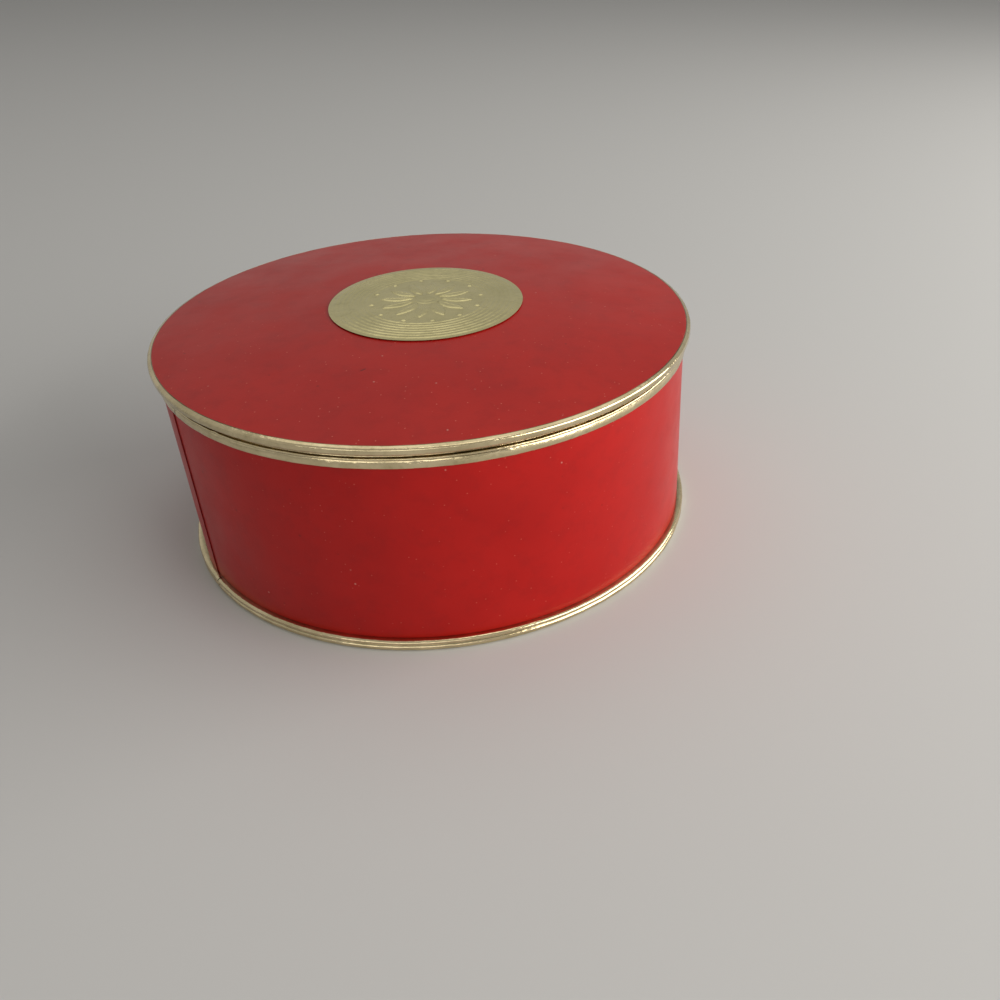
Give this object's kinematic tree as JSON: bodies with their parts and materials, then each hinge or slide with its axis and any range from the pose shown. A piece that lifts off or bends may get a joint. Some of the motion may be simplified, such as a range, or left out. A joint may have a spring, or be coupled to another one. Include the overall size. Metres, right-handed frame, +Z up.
{
  "type": "powder box",
  "caption": "Low round paper-covered board box with rolled metal rims, a crowned lift-off lid with a stamped medallion, and a powder puff inside.",
  "frame": {"origin": "middle of the base, on the surface that the box stands on", "axes": "+Z up along the box's axis; +X to the right and +Y away from the picture's viewer"},
  "size_m": [0.127, 0.127, 0.0556],
  "materials": {
    "board": "matte wound board",
    "red_paper": "glazed",
    "pale_paper": "smooth matte",
    "gold_metal": "polished, a little worn",
    "plush": "velour pile",
    "satin": "satin"
  },
  "bodies": {
    "box": {"body_wall": "board", "body_wrap": "red_paper", "body_lining": "pale_paper", "base_disc": "board", "base_lining": "pale_paper", "base_paper": "pale_paper", "base_rim": "gold_metal", "mouth_rim": "gold_metal"},
    "lid": {"lid_board": "board", "lid_paper": "red_paper", "lid_rim": "gold_metal", "lid_lining": "pale_paper", "lid_collar": "board", "collar_paper": "pale_paper", "medallion": "gold_metal"},
    "puff": {"puff_pad": "plush", "puff_back": "satin", "puff_strap": "satin"}
  },
  "joints": [
    {"name": "lid_lift", "type": "slide", "parent": "box", "child": "lid", "axis": [0, 0, 1], "range_m": [0, 0.07]},
    {"name": "puff_lift", "type": "slide", "parent": "box", "child": "puff", "axis": [0, 0, 1], "range_m": [0, 0.017]}
  ]
}
